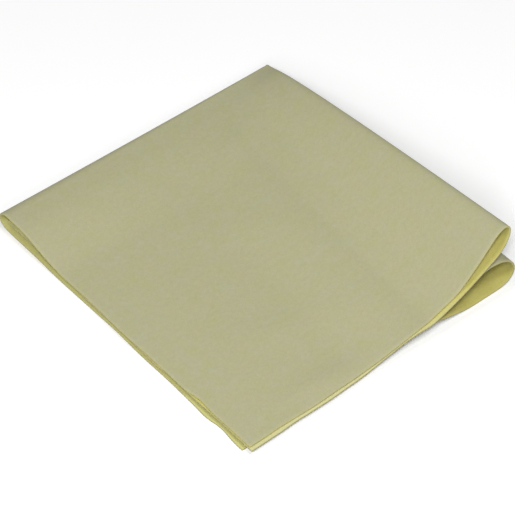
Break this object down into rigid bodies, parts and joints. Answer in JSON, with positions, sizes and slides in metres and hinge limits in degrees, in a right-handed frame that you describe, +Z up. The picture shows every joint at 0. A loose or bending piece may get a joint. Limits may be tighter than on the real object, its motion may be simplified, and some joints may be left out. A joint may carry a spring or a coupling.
{
  "type": "synthetic_chamois_cloth",
  "caption": "Pale yellow synthetic chamois cloth folded into a soft packet, its side fold springing open at one corner and its end fold at the next",
  "frame": {"origin": "middle of the folded packet's underside", "axes": "+X from the left cut edges to the side fold, +Y from the front cut edges to the end fold, +Z up"},
  "size_m": [0.1754, 0.1968, 0.039],
  "materials": {
    "chamois": "soft napped nonwoven, matt"
  },
  "bodies": {
    "lower_half": {"bottom_panel": "chamois", "lower_inner_panel": "chamois", "lower_side_fold": "chamois", "outer_end_fold_lower_half": "chamois", "inner_end_fold_lower_half": "chamois", "corner_fold_lower_half": "chamois"},
    "upper_half": {"top_panel": "chamois", "upper_inner_panel": "chamois", "upper_side_fold": "chamois", "outer_end_fold_upper_half": "chamois", "inner_end_fold_upper_half": "chamois", "corner_fold_upper_half": "chamois"}
  },
  "joints": [
    {"name": "unfold", "type": "hinge", "parent": "lower_half", "child": "upper_half", "pos_m": [0, 0.0994, 0.0038], "axis": [-0.9998, 0, 0.0195], "range_deg": [0, 160]}
  ]
}
